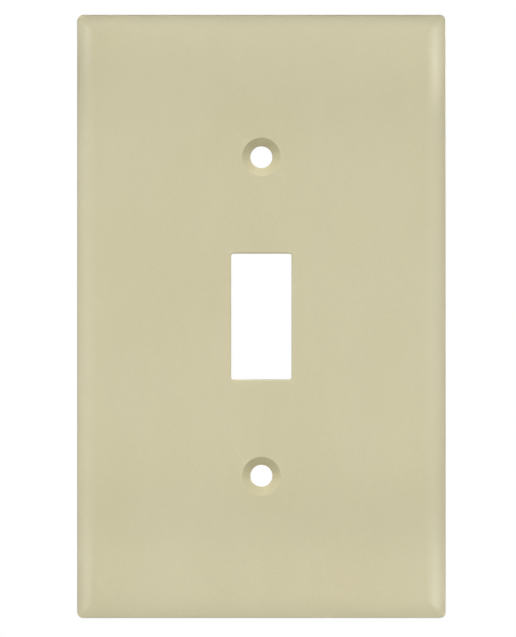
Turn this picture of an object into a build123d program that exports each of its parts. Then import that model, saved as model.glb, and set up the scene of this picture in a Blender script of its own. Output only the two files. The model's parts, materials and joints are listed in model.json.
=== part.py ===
from build123d import *
import math
import os

os.makedirs("parts", exist_ok=True)

# ---------------------------------------------------------------------------
# One-gang wall plate for a toggle switch, moulded in one piece.
# Millimetres. +Z is up the wall, the front looks along -Y, and the rear rim
# rests on the wall in the plane y = 0, with the origin at its centre.
# ---------------------------------------------------------------------------

# overall size (standard one-gang plate, 2.75 in x 4.50 in x 0.22 in)
plate_w = 69.85
plate_h = 114.30
plate_d = 5.60

# rolled edge: a large arc from the flat face, a small arc at the rim, then a
# drafted side wall
edge_r = 5.80            # large arc, tangent to the face
edge_tilt = 40.0         # tilt of the large arc where the rim arc takes over
rim_r = 0.60             # small arc at the rim and along the corner creases
side_draft = 1.0         # draft of the side walls, degrees
outline_r = 1.20         # plan radius of the four outline corners

# toggle opening
open_w = 11.40
open_h = 23.80
open_r = 0.40            # corner radius in plan
open_edge_r = 0.25       # rounding of the front edge of the opening

# screw holes
screw_pitch = 60.325     # 2 3/8 in between the two screws
screw_r = 2.085          # clearance hole for a 6-32 screw
sink_r = 3.65            # countersink at the face
sink_angle = 82.0        # oval-head screw countersink
sink_edge_r = 0.10       # softened lip of the countersink

# hollow back
face_t = 2.10            # thickness of the face
rim_t = 1.90             # thickness of the rim at the wall
cavity_draft = 1.0
cavity_corner_r = 1.60
floor_fillet = 1.00      # where the rim meets the back of the face
rim_edge_r = 0.30        # inner edge of the rim at the wall

# bosses, collar and ribs on the back of the face
boss_r = 4.30
boss_end = 1.50          # distance of the boss ends from the wall plane
boss_draft = 2.0
collar_t = 1.30          # wall of the collar round the opening
collar_end = 1.50
collar_draft = 1.0
rib_t = 1.00
rib_end = 2.30           # distance of the rib crests from the wall plane
rib_draft = 1.0
rib_long_x = 17.0        # long ribs left and right of the opening
root_fillet = 0.35       # where bosses, collar and ribs meet the face

# shallow round marks of the ejector pins on the back of the face
pin_r = 1.60
pin_depth = 0.12
pin_x = 25.5
pin_z = 45.0

# --- derived ---------------------------------------------------------------
sin_t = math.sin(math.radians(edge_tilt))
cos_t = math.cos(math.radians(edge_tilt))
wall_a = math.radians(90.0 - side_draft)
edge_run = (edge_r * sin_t + rim_r * (math.sin(wall_a) - sin_t))
edge_drop = (edge_r * (1 - cos_t) + rim_r * (cos_t - math.cos(wall_a)))
edge_run += (plate_d - edge_drop) * math.tan(math.radians(side_draft))
flat_x = plate_w / 2 - edge_run      # half width of the flat face
flat_z = plate_h / 2 - edge_run      # half height of the flat face
arc_end = 75.0                       # the large arc runs on past the side wall
floor_y = plate_d - face_t           # depth of the hollow
rib_reach = 0.4                      # ribs run this far into rim and collar
spine_in = open_h / 2 + collar_t - rib_reach
spine_out = plate_h / 2 - rim_t + rib_reach
spine_len = spine_out - spine_in
spine_mid = (spine_out + spine_in) / 2


def arc_point(half, angle, side):
    """Point on the large arc: distance from the centre line and height above
    the wall plane."""
    a = math.radians(angle)
    return (side * (half + edge_r * math.sin(a)),
            plate_d - edge_r * (1 - math.cos(a)))


ax0, ay0 = arc_point(flat_x, 0, 1)
ax1, ay1 = arc_point(flat_x, arc_end / 2, 1)
ax2, ay2 = arc_point(flat_x, arc_end, 1)
az0, _ = arc_point(flat_z, 0, 1)
az1, _ = arc_point(flat_z, arc_end / 2, 1)
az2, _ = arc_point(flat_z, arc_end, 1)
skirt = 3.0

# ---------------------------------------------------------------------------
# wall_plate
# ---------------------------------------------------------------------------
with BuildPart() as wall_plate:
    # rolled left and right edges, run along the height
    with BuildSketch(Plane.XY):
        with BuildLine():
            Line((-ax0, -ay0), (ax0, -ay0))
            ThreePointArc((ax0, -ay0), (ax1, -ay1), (ax2, -ay2))
            Line((ax2, -ay2), (ax2 + skirt, 0))
            Line((ax2 + skirt, 0), (-ax2 - skirt, 0))
            Line((-ax2 - skirt, 0), (-ax2, -ay2))
            ThreePointArc((-ax2, -ay2), (-ax1, -ay1), (-ax0, -ay0))
        make_face()
    extrude(amount=plate_h / 2 + 5, both=True)

    # rolled top and bottom edges, run along the width; the two meet in mitres
    with BuildSketch(Plane.YZ):
        with BuildLine():
            Line((-ay0, -az0), (-ay0, az0))
            ThreePointArc((-ay0, az0), (-ay1, az1), (-ay2, az2))
            Line((-ay2, az2), (0, az2 + skirt))
            Line((0, az2 + skirt), (0, -az2 - skirt))
            Line((0, -az2 - skirt), (-ay2, -az2))
            ThreePointArc((-ay2, -az2), (-ay1, -az1), (-ay0, -az0))
        make_face()
    extrude(amount=plate_w / 2 + 5, both=True, mode=Mode.INTERSECT)

    # drafted side walls with the rounded outline corners
    with BuildSketch(Plane.XZ):
        RectangleRounded(plate_w, plate_h, outline_r)
    extrude(amount=plate_d + 1, taper=side_draft, mode=Mode.INTERSECT)

    # rim and corner creases
    rim = [e for e in wall_plate.edges()
           if -plate_d + 0.7 < e.start_point().Y < -1
           and -plate_d + 0.7 < e.end_point().Y < -1]
    creases = [e for e in wall_plate.edges()
               if (abs(e.start_point().Y + plate_d) < 1e-4)
               != (abs(e.end_point().Y + plate_d) < 1e-4)]
    fillet(rim + creases, radius=rim_r)

    # hollow back
    with BuildSketch(Plane.XZ):
        RectangleRounded(plate_w - 2 * rim_t, plate_h - 2 * rim_t,
                         cavity_corner_r)
    extrude(amount=floor_y, taper=cavity_draft, mode=Mode.SUBTRACT)
    hollow_floor = (wall_plate.edges()
                    .filter_by_position(Axis.Y, -floor_y - 0.01,
                                        -floor_y + 0.01))
    fillet(hollow_floor, radius=floor_fillet)
    rim_lip = [e for e in wall_plate.edges()
               .filter_by_position(Axis.Y, -0.01, 0.01)
               if abs(e.center().X) < plate_w / 2 - rim_t / 2
               and abs(e.center().Z) < plate_h / 2 - rim_t / 2]
    fillet(rim_lip, radius=rim_edge_r)

    # ribs: spine above and below the opening, two long ribs, three cross ribs
    with BuildSketch(Plane.XZ.offset(rib_end)):
        with Locations((0, spine_mid), (0, -spine_mid)):
            Rectangle(rib_t, spine_len)
        with Locations((rib_long_x, 0), (-rib_long_x, 0)):
            Rectangle(rib_t, plate_h - 2 * rim_t + 2 * rib_reach)
        with Locations((0, screw_pitch / 2), (0, 0), (0, -screw_pitch / 2)):
            Rectangle(plate_w - 2 * rim_t + 2 * rib_reach, rib_t)
    extrude(amount=floor_y - rib_end + 0.5, taper=-rib_draft)

    # screw bosses
    with BuildSketch(Plane.XZ.offset(boss_end)):
        with Locations((0, screw_pitch / 2), (0, -screw_pitch / 2)):
            Circle(boss_r)
    extrude(amount=floor_y - boss_end + 0.5, taper=-boss_draft)

    # collar round the toggle opening
    with BuildSketch(Plane.XZ.offset(collar_end)):
        RectangleRounded(open_w + 2 * collar_t, open_h + 2 * collar_t,
                         open_r + collar_t)
    extrude(amount=floor_y - collar_end + 0.5, taper=-collar_draft)

    # roots of the ribs, bosses and collar
    roots = [e for e in wall_plate.edges()
             .filter_by_position(Axis.Y, -floor_y - 0.01, -floor_y + 0.01)
             if abs(e.center().X) < plate_w / 2 - rim_t - floor_fillet - 0.05
             and abs(e.center().Z) < plate_h / 2 - rim_t - floor_fillet - 0.05]
    fillet(roots, radius=root_fillet)

    # toggle opening
    with BuildSketch(Plane.XZ):
        RectangleRounded(open_w, open_h, open_r)
    extrude(amount=plate_d + 1, mode=Mode.SUBTRACT)

    # countersunk screw holes
    with Locations(Plane.XZ.offset(plate_d)):
        with Locations((0, screw_pitch / 2), (0, -screw_pitch / 2)):
            CounterSinkHole(screw_r, sink_r, depth=plate_d + 1,
                            counter_sink_angle=sink_angle)

    # ejector-pin marks
    with BuildSketch(Plane.XZ.offset(floor_y - 0.5)):
        with Locations((pin_x, pin_z), (-pin_x, pin_z),
                       (pin_x, -pin_z), (-pin_x, -pin_z)):
            Circle(pin_r)
    extrude(amount=0.5 + pin_depth, mode=Mode.SUBTRACT)

    # front edge of the opening
    open_edge = [e for e in wall_plate.edges()
                 .filter_by_position(Axis.Y, -plate_d - 0.01, -plate_d + 0.01)
                 if abs(e.center().X) < open_w / 2 + 0.1
                 and abs(e.center().Z) < open_h / 2 + 0.1]
    fillet(open_edge, radius=open_edge_r)

    # lip of each countersink
    sink_edge = [e for e in wall_plate.edges()
                 .filter_by_position(Axis.Y, -plate_d - 0.01, -plate_d + 0.01)
                 if e.geom_type == GeomType.CIRCLE
                 and abs(e.radius - sink_r) < 0.01]
    fillet(sink_edge, radius=sink_edge_r)

wall_plate.part.label = "wall_plate"
export_step(wall_plate.part, "parts/wall_plate.step")
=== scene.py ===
import json
import math

import bpy
import numpy as np
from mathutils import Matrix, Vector


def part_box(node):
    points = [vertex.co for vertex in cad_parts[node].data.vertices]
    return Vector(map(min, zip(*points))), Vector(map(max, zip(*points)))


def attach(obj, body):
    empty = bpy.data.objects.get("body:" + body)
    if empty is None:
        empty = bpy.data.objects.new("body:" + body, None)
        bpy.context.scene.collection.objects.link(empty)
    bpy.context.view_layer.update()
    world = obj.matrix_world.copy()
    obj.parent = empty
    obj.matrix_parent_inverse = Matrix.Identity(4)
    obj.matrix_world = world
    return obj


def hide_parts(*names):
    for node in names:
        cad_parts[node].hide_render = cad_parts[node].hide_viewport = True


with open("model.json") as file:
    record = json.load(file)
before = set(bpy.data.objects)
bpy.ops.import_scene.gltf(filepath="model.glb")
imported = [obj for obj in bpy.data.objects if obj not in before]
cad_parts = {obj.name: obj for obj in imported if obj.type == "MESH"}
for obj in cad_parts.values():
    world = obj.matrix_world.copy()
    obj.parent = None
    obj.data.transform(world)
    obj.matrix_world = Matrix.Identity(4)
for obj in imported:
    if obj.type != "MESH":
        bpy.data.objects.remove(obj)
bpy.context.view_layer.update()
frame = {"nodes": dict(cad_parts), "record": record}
MM = 0.001

# ---------------------------------------------------------------------------
# sizes: the outline comes from the CAD node, the screw distance from the
# record, the rest are the plate's own moulding sizes (mm)
# ---------------------------------------------------------------------------
lo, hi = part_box("wall_plate")
W = round((hi.x - lo.x) / MM, 3)
H = round((hi.z - lo.z) / MM, 3)
D = round((hi.y - lo.y) / MM, 3)
mounts = {m["name"]: m for m in frame["record"]["mounts"]}
PITCH = mounts["plate_screws"]["dims"]["spacing_y_mm"]
SCREW_R = mounts["plate_screws"]["dims"]["hole_r_mm"]

EDGE_R, EDGE_TILT, RIM_R, DRAFT = 5.80, 40.0, 0.60, 1.0
OUTLINE_R = 1.20
OPEN_W, OPEN_H, OPEN_R, OPEN_EDGE = 11.40, 23.80, 0.40, 0.25
SINK_R, SINK_ANGLE, SINK_EDGE = 3.65, 82.0, 0.10
FLOOR = 3.50                 # depth of the hollow back
RIM_T, CAVITY_R, FLOOR_FILLET, LIP_R = 1.90, 1.60, 1.00, 0.30
BOSS_R, BOSS_END = 4.30, 1.50
COLLAR_T, COLLAR_END, COLLAR_R = 1.30, 1.50, 1.70
RIB_T, RIB_END, RIB_X = 1.00, 2.30, 17.0
ROOT = 0.35
CREST = 0.10                 # softened crests of ribs, bosses and collar
PIN_R, PIN_DEPTH, PIN_X, PIN_Z = 1.60, 0.12, 25.5, 45.0

rad = math.radians


# ---------------------------------------------------------------------------
# profiles
# ---------------------------------------------------------------------------
def roll_profile():
    """(inset from the flat face's border, height above the wall) down the
    rolled edge and the side wall."""
    pts = []
    for i in range(0, 21):
        a = rad(EDGE_TILT * i / 20)
        pts.append((EDGE_R * math.sin(a), D - EDGE_R * (1 - math.cos(a))))
    s, c = math.sin(rad(EDGE_TILT)), math.cos(rad(EDGE_TILT))
    n = 10
    for i in range(1, n + 1):
        a = rad(EDGE_TILT + (90 - DRAFT - EDGE_TILT) * i / n)
        pts.append((EDGE_R * s + RIM_R * (math.sin(a) - s),
                    D - EDGE_R * (1 - c) - RIM_R * (c - math.cos(a))))
    return pts


ROLL = roll_profile()
RUN = ROLL[-1][0] + ROLL[-1][1] * math.tan(rad(DRAFT))
FX, FZ = W / 2 - RUN, H / 2 - RUN        # half sizes of the flat face


def foot_profile(wall_off, wall_h, draft, top_flat=None):
    """Cross-section of a standing wall, from its crest outwards: list of
    (offset from the wall's crest line, height above the hollow's floor)."""
    t = math.tan(rad(draft))
    pts = []
    for i in range(0, 4):                # softened crest
        a = rad(90 * i / 3)
        pts.append((wall_off - CREST + CREST * math.sin(a),
                    wall_h - CREST + CREST * math.cos(a)))
    mid = 1.2 if wall_h > 1.5 else 0.75
    pts.append((wall_off + (wall_h - mid) * t, mid))
    base = wall_off + (wall_h - ROOT) * t
    for i in range(0, 6):                # root fillet
        a = rad(90 * i / 5)
        pts.append((base + ROOT * (1 - math.cos(a)),
                    ROOT * (1 - math.sin(a))))
    return pts


RIB = foot_profile(RIB_T / 2, FLOOR - RIB_END, 1.0)
BOSS = foot_profile(BOSS_R, FLOOR - BOSS_END, 2.0)
COLLAR = foot_profile(COLLAR_T, FLOOR - COLLAR_END, 1.0)


def along(profile, o):
    xs = np.array([p[0] for p in profile])
    hs = np.array([p[1] for p in profile])
    return np.interp(np.abs(o), xs, hs, left=hs[0], right=0.0)


def ribs_height(x, z):
    """Height of the ribs above the hollow's floor, at points in the plan."""
    x, z = np.asarray(x, float), np.asarray(z, float)
    h = np.zeros(np.broadcast(x, z).shape)
    for cx in (RIB_X, -RIB_X):
        h = np.maximum(h, along(RIB, x - cx))
    for cz in (PITCH / 2, 0.0, -PITCH / 2):
        h = np.maximum(h, along(RIB, z - cz))
    h = np.maximum(h, along(RIB, x))
    return h


# ---------------------------------------------------------------------------
# the grid of the flat face and of the hollow's floor
# ---------------------------------------------------------------------------
RIB_LINES = [0.0] + sorted({round(p[0], 5) for p in RIB})
SQ = 5.8                      # half size of the window round each screw hole
OX, OZ = 8.4, 14.6            # half sizes of the window round the opening
CORNER_N = 9                  # points on each rounded corner


def lines(half, centres, extra, step):
    pts = {round(-half, 6), round(half, 6)}
    for c in centres:
        for o in RIB_LINES:
            pts.add(round(c + o, 6))
            pts.add(round(c - o, 6))
    for e in extra:
        pts.add(round(e, 6))
        pts.add(round(-e, 6))
    pts = sorted(pts)
    out = [pts[0]]
    for p in pts[1:]:
        gap = p - out[-1]
        if gap < 1e-4:
            continue
        n = max(1, int(math.ceil(gap / step - 1e-6)))
        base = out[-1]
        for i in range(1, n + 1):
            out.append(base + gap * i / n)
    return np.array(out)


ox_s, oz_s = OPEN_W / 2 - OPEN_R, OPEN_H / 2 - OPEN_R   # straight ends
NCX = NCZ = CORNER_N // 2
corner_x = [ox_s + (OX - ox_s) * i / NCX for i in range(NCX + 1)]
corner_z = [oz_s + (OZ - oz_s) * i / NCZ for i in range(NCZ + 1)]


def clean_extra(values):
    return [round(v, 6) for v in values]


PSQ = 2.6                     # half size of the window round each pin mark
pin_lines = [PSQ * i / 4 for i in range(-4, 5)]
XL = lines(FX, (0.0, RIB_X, -RIB_X), clean_extra(corner_x) +
           [SQ] + [PIN_X + p for p in pin_lines], 1.9)
ZL = lines(FZ, (0.0, PITCH / 2, -PITCH / 2), clean_extra(corner_z) +
           [PITCH / 2 - SQ, PITCH / 2 + SQ] +
           [PIN_Z + p for p in pin_lines], 1.9)


# ---------------------------------------------------------------------------
# mesh building
# ---------------------------------------------------------------------------
class Sheet:
    """Collects vertices (mm) and faces."""

    def __init__(self):
        self.co, self.faces, self.zone = [], [], []
        self.seen = {}

    def vert(self, x, y, z, zone):
        key = (round(x, 4), round(y, 4), round(z, 4))
        if key in self.seen:
            return self.seen[key]
        self.co.append((x, y, z))
        self.zone.append(zone)
        self.seen[key] = len(self.co) - 1
        return self.seen[key]

    def face(self, loop):
        out = []
        for v in loop:
            if not out or out[-1] != v:
                out.append(v)
        if len(out) > 1 and out[0] == out[-1]:
            out.pop()
        if len(set(out)) == len(out) and len(out) >= 3:
            self.faces.append(out)

    def strip(self, a, b):
        """Quads between two closed loops of the same length."""
        n = len(a)
        for i in range(n):
            j = (i + 1) % n
            self.face([a[i], a[j], b[j], b[i]])


S = Sheet()
FRONT, BACK, SIDE = 0.0, 1.0, 0.5


def window(x0, x1, z0, z1):
    e = 1e-4
    return lambda x, z: (x0 - e < x < x1 + e) and (z0 - e < z < z1 + e)


HOLES = [(0.0, PITCH / 2), (0.0, -PITCH / 2)]
PINS = [(PIN_X, PIN_Z), (-PIN_X, PIN_Z), (PIN_X, -PIN_Z), (-PIN_X, -PIN_Z)]
front_windows = [window(-OX, OX, -OZ, OZ)] + [
    window(cx - SQ, cx + SQ, cz - SQ, cz + SQ) for cx, cz in HOLES]
back_windows = front_windows + [
    window(cx - PSQ, cx + PSQ, cz - PSQ, cz + PSQ) for cx, cz in PINS]


def core(front):
    """The flat face (front) or the hollow's floor with its ribs (back)."""
    wins = front_windows if front else back_windows
    for i in range(len(XL) - 1):
        for j in range(len(ZL) - 1):
            xm, zm = (XL[i] + XL[i + 1]) / 2, (ZL[j] + ZL[j + 1]) / 2
            if any(w(xm, zm) for w in wins):
                continue
            quad = [(XL[i], ZL[j]), (XL[i + 1], ZL[j]),
                    (XL[i + 1], ZL[j + 1]), (XL[i], ZL[j + 1])]
            if front:
                S.face([S.vert(x, -D, z, FRONT) for x, z in quad])
            else:
                hs = [float(ribs_height(x, z)) for x, z in quad]
                S.face([S.vert(x, -FLOOR + h, z, BACK)
                        for (x, z), h in zip(quad, hs)][::-1])


core(True)
core(False)


def rect_loop(x0, x1, z0, z1):
    """Grid points on the border of a window, counter-clockwise seen from the
    front, from its lower right corner."""
    e = 1e-6
    xs = [x for x in XL if x0 - e <= x <= x1 + e]
    zs = [z for z in ZL if z0 - e <= z <= z1 + e]
    loop = [(x1, z) for z in zs[:-1]]
    loop += [(x, z1) for x in xs[::-1][:-1]]
    loop += [(x0, z) for z in zs[::-1][:-1]]
    loop += [(x, z0) for x in xs[:-1]]
    return loop


# --- screw holes ---------------------------------------------------------
def disk_ring(cx, cz, loop, r, lock):
    """The window's border loop pulled in to a circle of radius r. Points whose
    line belongs to a rib (offset up to lock) stay on that line."""
    pts = []
    for x, z in loop:
        dx, dz = x - cx, z - cz
        ax, az = abs(dx), abs(dz)
        half = max(ax, az)
        o = min(ax, az)
        lim = min(math.asin(min(0.999, lock / r)), rad(40))
        if o <= lock + 1e-9:
            a = math.asin(min(1.0, o / r))
        else:
            a = lim + (rad(45) - lim) * (o - lock) / (half - lock)
        c, s = r * math.cos(a), r * math.sin(a)
        if az > ax:
            px, pz = s, c
        else:
            px, pz = c, s
        pts.append((cx + math.copysign(px, dx) if ax > 1e-9 or az <= ax
                    else cx, cz + math.copysign(pz, dz)
                    if az > 1e-9 or ax < az else cz))
    return pts


def mixed(a, b, t):
    return [(p[0] * (1 - t) + q[0] * t, p[1] * (1 - t) + q[1] * t)
            for p, q in zip(a, b)]


LOCK = RIB[-1][0]
sink_depth = (SINK_R - SCREW_R) / math.tan(rad(SINK_ANGLE / 2))
for cx, cz in HOLES:
    border = rect_loop(cx - SQ, cx + SQ, cz - SQ, cz + SQ)

    def ring(r):
        return disk_ring(cx, cz, border, r, LOCK)

    loops = []

    def add(pts, ys, zone):
        if not isinstance(ys, (list, tuple, np.ndarray)):
            ys = [ys] * len(pts)
        loops.append([S.vert(p[0], y, p[1], zone) for p, y in zip(pts, ys)])

    # front: face, softened lip, cone, hole wall
    add(border, -D, FRONT)
    lip0 = SINK_R + SINK_EDGE * math.tan(rad((90 - SINK_ANGLE / 2) / 2))
    add(mixed(border, ring(lip0), 0.55), -D, FRONT)
    add(ring(lip0 + 0.12), -D, FRONT)
    ctilt = 90 - SINK_ANGLE / 2
    for i in range(0, 6):
        a = rad(ctilt * i / 5)
        r = lip0 - SINK_EDGE * math.sin(a)
        add(ring(r), -D + SINK_EDGE * (1 - math.cos(a)), FRONT)
    r_lo = lip0 - SINK_EDGE * math.sin(rad(ctilt))
    y_lo = -D + SINK_EDGE * (1 - math.cos(rad(ctilt)))
    r_hi, y_hi = SCREW_R, -D + sink_depth
    for i in range(1, 8):
        t = i / 8
        add(ring(r_lo + (r_hi - r_lo) * t), y_lo + (y_hi - y_lo) * t, FRONT)
    e = 0.06                      # softened neck of the hole
    add(ring(r_hi + e * math.sin(rad(SINK_ANGLE / 2))),
        y_hi - e * math.cos(rad(SINK_ANGLE / 2)), FRONT)
    add(ring(r_hi + 0.008), y_hi + 0.02, FRONT)
    add(ring(r_hi), y_hi + e, SIDE)
    for t in (0.35, 0.7):
        add(ring(r_hi), y_hi + (-BOSS_END - y_hi) * t, SIDE)
    c = 0.08
    for i in range(0, 4):
        a = rad(90 * i / 3)
        add(ring(r_hi + c * (1 - math.cos(a))), -BOSS_END - c + c * math.sin(a),
            BACK)
    # back: boss top, wall and root, then the floor out to the window
    add(ring((r_hi + BOSS_R) / 2), -BOSS_END, BACK)

    def back_ys(pts, h):
        hr = ribs_height([p[0] for p in pts], [p[1] for p in pts])
        return list(-FLOOR + np.maximum(h, hr))

    for o, h in BOSS:
        pts = ring(o)
        add(pts, back_ys(pts, h), BACK)
    for t in (0.3, 0.65):
        pts = mixed(ring(BOSS[-1][0]), border, t)
        add(pts, back_ys(pts, 0.0), BACK)
    add(border, back_ys(border, 0.0), BACK)
    for a, b in zip(loops[:-1], loops[1:]):
        S.strip(a, b)


# --- toggle opening --------------------------------------------------------
def corner_arc(cx, cz, r, k, sx, sz, n=CORNER_N):
    """Point k of n on a quarter arc round (cx, cz), k = 0 on the x side."""
    a = rad(90) * k / (n - 1)
    return cx + sx * r * math.cos(a), cz + sz * r * math.sin(a)


open_border = rect_loop(-OX, OX, -OZ, OZ)


def open_ring(grow):
    """The opening's outline grown outwards by grow, one point for each point
    of the window's border."""
    pts = []
    r = OPEN_R + grow
    for x, z in open_border:
        ax, az = abs(x), abs(z)
        sx, sz = math.copysign(1, x), math.copysign(1, z)
        on_x = abs(ax - OX) < 1e-6
        on_z = abs(az - OZ) < 1e-6
        if on_x and az <= oz_s + 1e-6:
            pts.append((sx * (ox_s + r), z))
        elif on_z and ax <= ox_s + 1e-6:
            pts.append((x, sz * (oz_s + r)))
        else:
            if on_x:
                f = (az - oz_s) / (OZ - oz_s) * 0.5
            else:
                f = 1.0 - (ax - ox_s) / (OX - ox_s) * 0.5
            a = rad(90) * f
            pts.append((sx * (ox_s + r * math.cos(a)),
                        sz * (oz_s + r * math.sin(a))))
    return pts


loops = []
add(open_border, -D, FRONT)
add(mixed(open_border, open_ring(OPEN_EDGE), 0.5), -D, FRONT)
add(open_ring(OPEN_EDGE + 0.15), -D, FRONT)
for i in range(0, 7):
    a = rad(90 * i / 6)
    add(open_ring(OPEN_EDGE * (1 - math.sin(a))),
        -D + OPEN_EDGE * (1 - math.cos(a)), FRONT)
for t in (0.15, 0.4, 0.7, 0.9):
    add(open_ring(0), -D + OPEN_EDGE + (D - OPEN_EDGE - COLLAR_END - CREST) * t,
        SIDE)
for i in range(0, 4):
    a = rad(90 * i / 3)
    add(open_ring(CREST * (1 - math.cos(a))),
        -COLLAR_END - CREST + CREST * math.sin(a), BACK)
add(open_ring(COLLAR_T / 2), -COLLAR_END, BACK)
for o, h in COLLAR:
    pts = open_ring(o)
    add(pts, back_ys(pts, h), BACK)
pts = mixed(open_ring(COLLAR[-1][0]), open_border, 0.5)
add(pts, back_ys(pts, 0.0), BACK)
add(open_border, back_ys(open_border, 0.0), BACK)
for a, b in zip(loops[:-1], loops[1:]):
    S.strip(a, b)


# --- rolled edge, side walls, rim and the hollow's walls ---------------------
outer_border = rect_loop(-FX, FX, -FZ, FZ)
OUT_N = 13                    # points on each outline corner


def outer_seq():
    """The face's border with OUT_N copies of each corner: (x, z, corner sign
    or None, fraction round the corner)."""
    seq = []
    for x, z in outer_border:
        cx = abs(abs(x) - FX) < 1e-6
        cz = abs(abs(z) - FZ) < 1e-6
        if cx and cz:
            sx, sz = math.copysign(1, x), math.copysign(1, z)
            fr = [k / (OUT_N - 1) for k in range(OUT_N)]
            # counter-clockwise: from the x side to the z side where the
            # signs agree, the other way where they don't
            if sx * sz < 0:
                fr = fr[::-1]
            seq += [(x, z, (sx, sz), f) for f in fr]
        else:
            seq.append((x, z, None, 0.0))
    return seq


OUTER = outer_seq()


def outer_ring(off, r):
    """The face's border moved out by off, with corner radius r."""
    pts = []
    r = max(min(r, off), 0.0)
    for x, z, corner, f in OUTER:
        if corner is None:
            if abs(abs(x) - FX) < 1e-6:
                pts.append((math.copysign(FX + off, x), z))
            else:
                pts.append((x, math.copysign(FZ + off, z)))
        else:
            sx, sz = corner
            q = off - r          # straight run before the corner's arc
            # first and last points lie on the straight sides, the rest on
            # the arc
            a = rad(90) * f
            if f == 0.0:
                pts.append((sx * (FX + off), sz * FZ))
            elif f == 1.0:
                pts.append((sx * FX, sz * (FZ + off)))
            else:
                g = (f * (OUT_N - 1) - 1) / (OUT_N - 3)
                a = rad(90) * g
                pts.append((sx * (FX + q + r * math.cos(a)),
                            sz * (FZ + q + r * math.sin(a))))
    return pts


def corner_r(off):
    """Radius of the corner at this distance down the rolled edge: the crease
    between the two rolls is soft, and widens to the outline's corner."""
    t = min(max(off / RUN, 0.0), 1.0)
    return max(0.12, OUTLINE_R * t ** 1.6)


def outer_back_ys(pts, h):
    hr = ribs_height([p[0] for p in pts], [p[1] for p in pts])
    return list(-FLOOR + np.maximum(h, hr))


loops = []
for off, y in ROLL:
    add(outer_ring(off, corner_r(off)), -y, FRONT)
y_wall = ROLL[-1][1]
for t in (0.3, 0.65, 0.95):
    y = y_wall * (1 - t)
    off = RUN - y * math.tan(rad(DRAFT))
    add(outer_ring(off, OUTLINE_R), -y, SIDE)
c = 0.06                      # the rear edge isn't razor sharp
add(outer_ring(RUN - 0.008, OUTLINE_R), -0.03, SIDE)
add(outer_ring(RUN - c, OUTLINE_R - c), 0.0, BACK)
rim_in = RUN - RIM_T
add(outer_ring((RUN - c + rim_in + LIP_R) / 2, OUTLINE_R + 0.2), 0.0, BACK)
for i in range(0, 5):
    a = rad(90 * i / 4)
    add(outer_ring(rim_in + LIP_R * (1 - math.sin(a)), CAVITY_R),
        -LIP_R * (1 - math.cos(a)), BACK)
t1 = math.tan(rad(1.0))
for y in (0.7, 1.4, FLOOR - (FLOOR - RIB_END), FLOOR - FLOOR_FILLET):
    pts = outer_ring(rim_in - y * t1, CAVITY_R)
    add(pts, outer_back_ys(pts, FLOOR - y), BACK)
base = rim_in - (FLOOR - FLOOR_FILLET) * t1
for i in range(1, 9):
    a = rad(90 * i / 8)
    off = base - FLOOR_FILLET * (1 - math.cos(a))
    pts = outer_ring(off, CAVITY_R)
    add(pts, outer_back_ys(pts, FLOOR_FILLET * (1 - math.sin(a))), BACK)
pts = outer_ring((base - FLOOR_FILLET) / 2, 0.6)
add(pts, outer_back_ys(pts, 0.0), BACK)
pts = outer_ring(0.0, 0.0)
add(pts, outer_back_ys(pts, 0.0), BACK)
for a, b in zip(loops[:-1], loops[1:]):
    S.strip(b, a)


# --- ejector-pin marks on the hollow's floor -----------------------------------
for cx, cz in PINS:
    border = rect_loop(cx - PSQ, cx + PSQ, cz - PSQ, cz + PSQ)

    def pin_ring(r):
        out = []
        for x, z in border:
            dx, dz = x - cx, z - cz
            half, o = max(abs(dx), abs(dz)), min(abs(dx), abs(dz))
            a = rad(45) * o / half
            c_, s_ = r * math.cos(a), r * math.sin(a)
            if abs(dz) > abs(dx):
                px, pz = s_, c_
            else:
                px, pz = c_, s_
            out.append((cx + math.copysign(px, dx), cz + math.copysign(pz, dz)))
        return out

    loops = []
    add(border, -FLOOR, BACK)
    for r, d in ((PIN_R + 0.10, 0.0), (PIN_R + 0.03, 0.012), (PIN_R, 0.05),
                 (PIN_R - 0.02, PIN_DEPTH - 0.02), (PIN_R - 0.08, PIN_DEPTH),
                 (PIN_R * 0.6, PIN_DEPTH), (PIN_R * 0.25, PIN_DEPTH)):
        add(pin_ring(r), -FLOOR - d, BACK)
    for a, b in zip(loops[:-1], loops[1:]):
        S.strip(b, a)
    mid = S.vert(cx, -FLOOR - PIN_DEPTH, cz, BACK)
    last = loops[-1]
    for i in range(len(last)):
        S.face([last[(i + 1) % len(last)], last[i], mid])


# ---------------------------------------------------------------------------
# the piece
# ---------------------------------------------------------------------------
def make_piece(name):
    co = np.array(S.co, float) * MM
    mesh = bpy.data.meshes.new(name)
    mesh.from_pydata([tuple(c) for c in co], [], S.faces)
    mesh.update()
    # shading normals weighted by face area, so the flat faces stay flat and
    # only the small roundings turn
    n = np.zeros_like(co)
    for p in mesh.polygons:
        v = np.array(p.normal) * p.area
        for i in p.vertices:
            n[i] += v
    n /= np.maximum(np.linalg.norm(n, axis=1, keepdims=True), 1e-12)
    for p in mesh.polygons:
        p.use_smooth = True
    mesh.normals_split_custom_set_from_vertices([tuple(v) for v in n])
    zone = mesh.attributes.new("zone", "FLOAT", "POINT")
    zone.data.foreach_set("value", np.array(S.zone, np.float32))
    obj = bpy.data.objects.new(name, mesh)
    bpy.context.scene.collection.objects.link(obj)
    return obj


plate = make_piece("plate_moulding")
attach(plate, "root")
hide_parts("wall_plate")


# ---------------------------------------------------------------------------
# ivory moulded plastic
# ---------------------------------------------------------------------------
def node(nt, kind, **values):
    n = nt.nodes.new(kind)
    for k, v in values.items():
        if k.startswith("in_"):
            n.inputs[k[3:].replace("_", " ")].default_value = v
        else:
            setattr(n, k, v)
    return n


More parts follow.
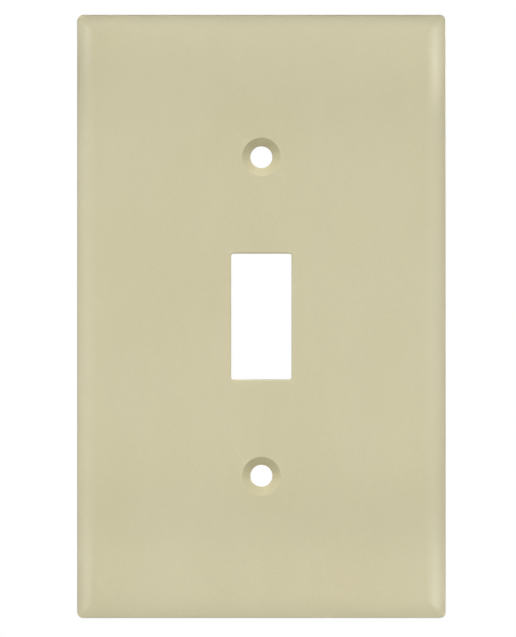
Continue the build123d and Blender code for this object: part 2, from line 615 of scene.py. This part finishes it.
def ramp(nt, stops, interpolation="LINEAR"):
    n = nt.nodes.new("ShaderNodeValToRGB")
    n.color_ramp.interpolation = interpolation
    els = n.color_ramp.elements
    while len(els) > 1:
        els.remove(els[-1])
    els[0].position, els[0].color = stops[0]
    for p, c in stops[1:]:
        els.new(p).color = c
    return n


def grey(v):
    return (v, v, v, 1.0)


IVORY = (0.640, 0.592, 0.391)


def ivory_plastic():
    m = bpy.data.materials.new("ivory_plastic")
    m.use_nodes = True
    nt = m.node_tree
    nt.nodes.clear()
    link = nt.links.new
    out = node(nt, "ShaderNodeOutputMaterial")
    bsdf = node(nt, "ShaderNodeBsdfPrincipled")
    bsdf.inputs["IOR"].default_value = 1.50
    bsdf.inputs["Metallic"].default_value = 0.0
    bsdf.inputs["Specular IOR Level"].default_value = 0.5
    link(bsdf.outputs["BSDF"], out.inputs["Surface"])
    coord = node(nt, "ShaderNodeTexCoord")
    obj = coord.outputs["Object"]

    def noise(scale, detail=2.0, rough=0.5, vec=obj, distortion=0.0):
        n = node(nt, "ShaderNodeTexNoise", noise_dimensions="3D")
        n.inputs["Scale"].default_value = scale
        n.inputs["Detail"].default_value = detail
        n.inputs["Roughness"].default_value = rough
        n.inputs["Distortion"].default_value = distortion
        link(vec, n.inputs["Vector"])
        return n.outputs["Fac"]

    def math_node(op, a, b=None, clamp=False):
        n = node(nt, "ShaderNodeMath", operation=op, use_clamp=clamp)
        for i, v in enumerate((a, b)):
            if v is None:
                continue
            if isinstance(v, (int, float)):
                n.inputs[i].default_value = v
            else:
                link(v, n.inputs[i])
        return n.outputs[0]

    def mix(fac, a, b, mode="MIX"):
        n = node(nt, "ShaderNodeMix", data_type="RGBA", blend_type=mode)
        for key, v in ((0, fac), (6, a), (7, b)):
            if isinstance(v, (int, float)):
                n.inputs[key].default_value = v
            elif isinstance(v, tuple):
                n.inputs[key].default_value = v
            else:
                link(v, n.inputs[key])
        return n.outputs[2]

    # colour: faint cloudy mottle, flow streaks from the gate, fine grain
    stretch = node(nt, "ShaderNodeMapping", vector_type="POINT")
    stretch.inputs["Scale"].default_value = (1.0, 1.0, 0.22)
    link(obj, stretch.inputs["Vector"])
    cloud = noise(38.0, 3.0, 0.55)
    streak = noise(170.0, 3.0, 0.6, stretch.outputs["Vector"], 0.6)
    grain = noise(2600.0, 2.0, 0.5)
    base = tuple(IVORY) + (1.0,)
    warm = (IVORY[0] * 0.984, IVORY[1] * 0.976, IVORY[2] * 0.955, 1.0)
    pale = (IVORY[0] * 1.012, IVORY[1] * 1.014, IVORY[2] * 1.028, 1.0)
    c1 = ramp(nt, [(0.30, warm), (0.52, base), (0.75, pale)])
    link(cloud, c1.inputs["Fac"])
    s1 = ramp(nt, [(0.35, grey(0.992)), (0.70, grey(1.006))])
    link(streak, s1.inputs["Fac"])
    c2 = mix(1.0, c1.outputs["Color"], s1.outputs["Color"], "MULTIPLY")
    g1 = ramp(nt, [(0.30, grey(0.982)), (0.70, grey(1.014))])
    link(grain, g1.inputs["Fac"])
    c3 = mix(1.0, c2, g1.outputs["Color"], "MULTIPLY")

    # handling wear: edges a touch paler and smoother; painted shade: inner
    # corners and recesses darker
    geo = node(nt, "ShaderNodeNewGeometry")
    edge = ramp(nt, [(0.505, grey(0.0)), (0.56, grey(1.0))])
    link(geo.outputs["Pointiness"], edge.inputs["Fac"])
    wear_noise = ramp(nt, [(0.45, grey(0.0)), (0.62, grey(1.0))])
    link(noise(300.0, 4.0, 0.6), wear_noise.inputs["Fac"])
    wear = math_node("MULTIPLY", edge.outputs["Color"],
                     wear_noise.outputs["Color"])
    worn = (IVORY[0] * 1.07, IVORY[1] * 1.08, IVORY[2] * 1.14, 1.0)
    c4 = mix(math_node("MULTIPLY", wear, 0.35), c3, worn)
    # painted shade: concave spots (low pointiness) get a darker, warmer base
    # colour
    painted_shade_mask = ramp(nt, [(0.44, grey(1.0)), (0.497, grey(0.0))])
    link(geo.outputs["Pointiness"], painted_shade_mask.inputs["Fac"])
    painted_shade_tint = (IVORY[0] * 0.86, IVORY[1] * 0.82, IVORY[2] * 0.74, 1.0)
    c5 = mix(math_node("MULTIPLY", painted_shade_mask.outputs["Color"], 0.30), c4, painted_shade_tint)
    link(c5, bsdf.inputs["Base Color"])

    # roughness: polished face with faint handling smudges, matt hollow back
    zone = node(nt, "ShaderNodeAttribute", attribute_name="zone",
                attribute_type="GEOMETRY")
    smudge = ramp(nt, [(0.38, grey(0.0)), (0.68, grey(1.0))])
    link(noise(85.0, 5.0, 0.62, obj, 0.8), smudge.inputs["Fac"])
    r1 = math_node("MULTIPLY_ADD", smudge.outputs["Color"], 0.07)
    r1.node.inputs[2].default_value = 0.30
    r2 = math_node("MULTIPLY_ADD", noise(4200.0, 1.0), 0.06)
    link(r1, r2.node.inputs[2])
    r3 = math_node("MULTIPLY_ADD", zone.outputs["Fac"], 0.20)
    link(r2, r3.node.inputs[2])
    link(r3, bsdf.inputs["Roughness"])

    # bump: soft orange-peel from the mould and a finer polish grain
    peel = noise(620.0, 2.0, 0.5)
    fine = noise(5200.0, 1.0, 0.5)
    wave = noise(95.0, 1.0, 0.4)
    b1 = node(nt, "ShaderNodeBump")
    b1.inputs["Strength"].default_value = 0.22
    b1.inputs["Distance"].default_value = 0.00006
    link(wave, b1.inputs["Height"])
    b2 = node(nt, "ShaderNodeBump")
    b2.inputs["Strength"].default_value = 0.22
    b2.inputs["Distance"].default_value = 0.000012
    link(peel, b2.inputs["Height"])
    link(b1.outputs["Normal"], b2.inputs["Normal"])
    b3 = node(nt, "ShaderNodeBump")
    b3.inputs["Strength"].default_value = 0.15
    b3.inputs["Distance"].default_value = 0.000003
    link(fine, b3.inputs["Height"])
    link(b2.outputs["Normal"], b3.inputs["Normal"])
    link(b3.outputs["Normal"], bsdf.inputs["Normal"])
    return m


material = ivory_plastic()
plate.data.materials.append(material)
cad = frame["nodes"]["wall_plate"]
cad.data.materials.clear()
cad.data.materials.append(material)


# ---------------------------------------------------------------------------
# camera: straight in front, long lens
# ---------------------------------------------------------------------------
PX_W, PX_H = 516, 637
SCALE = 0.18899 * MM                    # metres on the face per picture width
DIST = 1.40
cam_data = bpy.data.cameras.new("camera")
cam_data.sensor_fit = "VERTICAL"
cam_data.sensor_height = 24.0
view_h = PX_H * SCALE
cam_data.lens = 24.0 * DIST / view_h
cam_data.clip_start, cam_data.clip_end = 0.01, 20.0
cam_data.dof.use_dof = False
cam = bpy.data.objects.new("camera", cam_data)
bpy.context.scene.collection.objects.link(cam)
# centre of the plate in the picture, in pixels from the picture's centre
off_x = (258.0 - 261.4) * SCALE         # the plate sits a little right
off_z = (316.46 - 318.5) * SCALE
cam.location = (off_x, -D * MM - DIST, off_z)
cam.rotation_euler = (rad(90), 0, 0)
bpy.context.scene.camera = cam

# ---------------------------------------------------------------------------
# pale round floor, well below the plate
# ---------------------------------------------------------------------------
FLOOR_Z, FLOOR_R = -0.16, 0.22


def pale_floor():
    n, rings = 96, (0.0, 0.08, 0.16, FLOOR_R)
    co, faces = [(0.0, 0.0, FLOOR_Z)], []
    for r in rings[1:]:
        for i in range(n):
            a = 2 * math.pi * i / n
            co.append((r * math.cos(a), r * math.sin(a), FLOOR_Z))
    for i in range(n):
        j = (i + 1) % n
        faces.append((0, 1 + i, 1 + j))
        for k in range(len(rings) - 2):
            a, b = 1 + k * n, 1 + (k + 1) * n
            faces.append((a + i, b + i, b + j, a + j))
    mesh = bpy.data.meshes.new("floor")
    mesh.from_pydata(co, [], faces)
    mesh.update()
    obj = bpy.data.objects.new("floor", mesh)
    bpy.context.scene.collection.objects.link(obj)
    m = bpy.data.materials.new("pale_floor")
    m.use_nodes = True
    nt = m.node_tree
    bsdf = nt.nodes["Principled BSDF"]
    bsdf.inputs["Roughness"].default_value = 0.75
    coord = node(nt, "ShaderNodeTexCoord")
    noise = node(nt, "ShaderNodeTexNoise")
    noise.inputs["Scale"].default_value = 9.0
    nt.links.new(coord.outputs["Object"], noise.inputs["Vector"])
    tone = ramp(nt, [(0.3, grey(0.86)), (0.7, grey(0.89))])
    nt.links.new(noise.outputs["Fac"], tone.inputs["Fac"])
    nt.links.new(tone.outputs["Color"], bsdf.inputs["Base Color"])
    mesh.materials.append(m)
    return obj


pale_floor()


# ---------------------------------------------------------------------------
# light, floor
# ---------------------------------------------------------------------------
scene = bpy.context.scene
scene.view_settings.view_transform = "Standard"
scene.view_settings.look = "None"
scene.view_settings.exposure = 0.0
scene.view_settings.gamma = 1.0


def area_light(name, azimuth, elevation, distance, width, height, power,
               up=0.0, spread=180.0):
    """A soft box aimed at the face at the height up (m), seen from there in
    the direction azimuth (degrees to the right of the front) and elevation."""
    az, el = rad(azimuth), rad(elevation)
    d = Vector((math.sin(az) * math.cos(el), -math.cos(az) * math.cos(el),
                math.sin(el)))
    light = bpy.data.lights.new(name, "AREA")
    light.shape = "RECTANGLE"
    light.size = width
    light.size_y = height
    light.energy = power
    light.spread = rad(spread)
    obj = bpy.data.objects.new(name, light)
    scene.collection.objects.link(obj)
    target = Vector((0.0, -D * MM if spread < 90.0 else 0.0, up))
    obj.location = target + d * distance
    obj.rotation_euler = d.to_track_quat("Z", "Y").to_euler()
    return obj


# tall soft boxes on both sides, soft boxes above, two gridded strips that rake
# the middle of the face from above so that the screw seats read, gridded
# strips that even out the ends, and two boxes behind
LIGHTS = [
    # name, azimuth, elevation, distance, width, height, watts, up, spread
    ("right_box_25", 25, 0, 1, 0.32, 0.9, 0.79582, 0, 180),
    ("left_box_40", -40, 0, 1, 0.32, 0.9, 1.90896, 0, 180),
    ("right_box_40", 40, 0, 1, 0.32, 0.9, 1.36400, 0, 180),
    ("left_box_55", -55, 0, 1, 0.32, 0.9, 0.46380, 0, 180),
    ("right_box_55", 55, 0, 1, 0.32, 0.9, 0.44915, 0, 180),
    ("left_box_70", -70, 0, 1, 0.32, 0.9, 1.87446, 0, 180),
    ("right_box_70", 70, 0, 1, 0.32, 0.9, 1.44272, 0, 180),
    ("top_box_60", 0, 60, 0.8, 0.4, 0.4, 0.74269, 0, 180),
    ("top_box_35", 0, 35, 1, 0.4, 0.4, 0.62684, 0, 180),
    ("rake_50", 0, 50, 0.1, 0.3, 0.05528, 0.01899, -0.0008, 12),
    ("rake_70", 0, 70, 0.1, 0.3, 0.02941, 0.00408, -0.0008, 12),
    ("top_end_right_47", 40, 0, 0.12, 0.3, 0.01, 0.00236, 0.047, 10),
    ("top_end_left_54", -40, 0, 0.12, 0.3, 0.01, 0.00142, 0.054, 10),
    ("top_end_right_54", 40, 0, 0.12, 0.3, 0.01, 0.00158, 0.054, 10),
    ("top_end_left_62", -40, 0, 0.12, 0.3, 0.01, 0.00258, 0.062, 10),
    ("low_end_left_47", -40, 0, 0.12, 0.3, 0.01, 0.00070, -0.047, 10),
    ("low_end_right_47", 40, 0, 0.12, 0.3, 0.01, 0.00134, -0.047, 10),
    ("low_end_right_54", 40, 0, 0.12, 0.3, 0.01, 0.00182, -0.054, 10),
    ("low_end_left_62", -40, 0, 0.12, 0.3, 0.01, 0.00234, -0.062, 10),
    ("back_box_left", 155, 12, 1, 0.25, 0.25, 6.00000, 0, 180),
    ("back_box_right", -160, 20, 1, 0.25, 0.25, 3.50000, 0, 180),
]
for spec in LIGHTS:
    area_light(*spec)

world = bpy.data.worlds.new("studio")
scene.world = world
world.use_nodes = True
wn = world.node_tree
wn.nodes.clear()
w_out = wn.nodes.new("ShaderNodeOutputWorld")
bg_seen = wn.nodes.new("ShaderNodeBackground")
bg_seen.inputs["Color"].default_value = (1, 1, 1, 1)
bg_seen.inputs["Strength"].default_value = 1.0
bg_light = wn.nodes.new("ShaderNodeBackground")
bg_light.inputs["Color"].default_value = (1, 1, 1, 1)
bg_light.inputs["Strength"].default_value = 0.1
path = wn.nodes.new("ShaderNodeLightPath")
mixer = wn.nodes.new("ShaderNodeMixShader")
wn.links.new(path.outputs["Is Camera Ray"], mixer.inputs["Fac"])
wn.links.new(bg_light.outputs["Background"], mixer.inputs[1])
wn.links.new(bg_seen.outputs["Background"], mixer.inputs[2])
wn.links.new(mixer.outputs["Shader"], w_out.inputs["Surface"])
